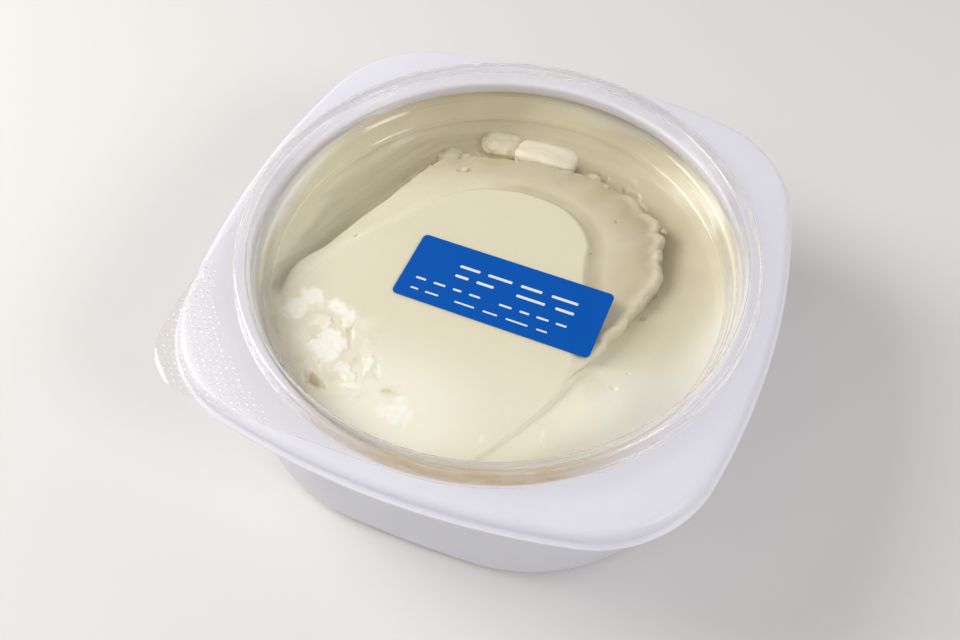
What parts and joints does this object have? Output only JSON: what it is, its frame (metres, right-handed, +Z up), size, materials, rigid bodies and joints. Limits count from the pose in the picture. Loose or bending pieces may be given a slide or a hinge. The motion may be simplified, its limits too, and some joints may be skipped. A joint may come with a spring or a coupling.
{
  "type": "tub of ladled soft tofu with a clear lid",
  "caption": "Soft tofu ladled in loose scoops into a square-rimmed white tub, closed by a round clear press-on lid with a blue label and a lift tab.",
  "frame": {"origin": "centre of the footprint on the table, under the tub", "axes": "+Z up out of the tub, X and Y along the sides of its square rim, with the lid's lift tab at the corner towards -X and -Y"},
  "size_m": [0.132, 0.132, 0.0507],
  "materials": {
    "tub_plastic": "white, slightly blue formed sheet with a soft gloss",
    "lid_plastic": "clear formed plastic sheet",
    "label_paper": "blue coated label with plain pale shapes",
    "tofu": "moist soft curd",
    "curd": "moist loose curd"
  },
  "bodies": {
    "root": {"tub": "tub_plastic", "lid": "lid_plastic", "label": "label_paper", "tofu_bed": "tofu", "tofu_scoop_lower": "tofu", "tofu_scoop_upper": "tofu", "curd_1": "curd", "curd_2": "curd", "curd_3": "curd", "curd_4": "curd", "curd_5": "curd", "curd_6": "curd", "curd_7": "curd", "curd_8": "curd", "curd_9": "curd"}
  },
  "joints": []
}
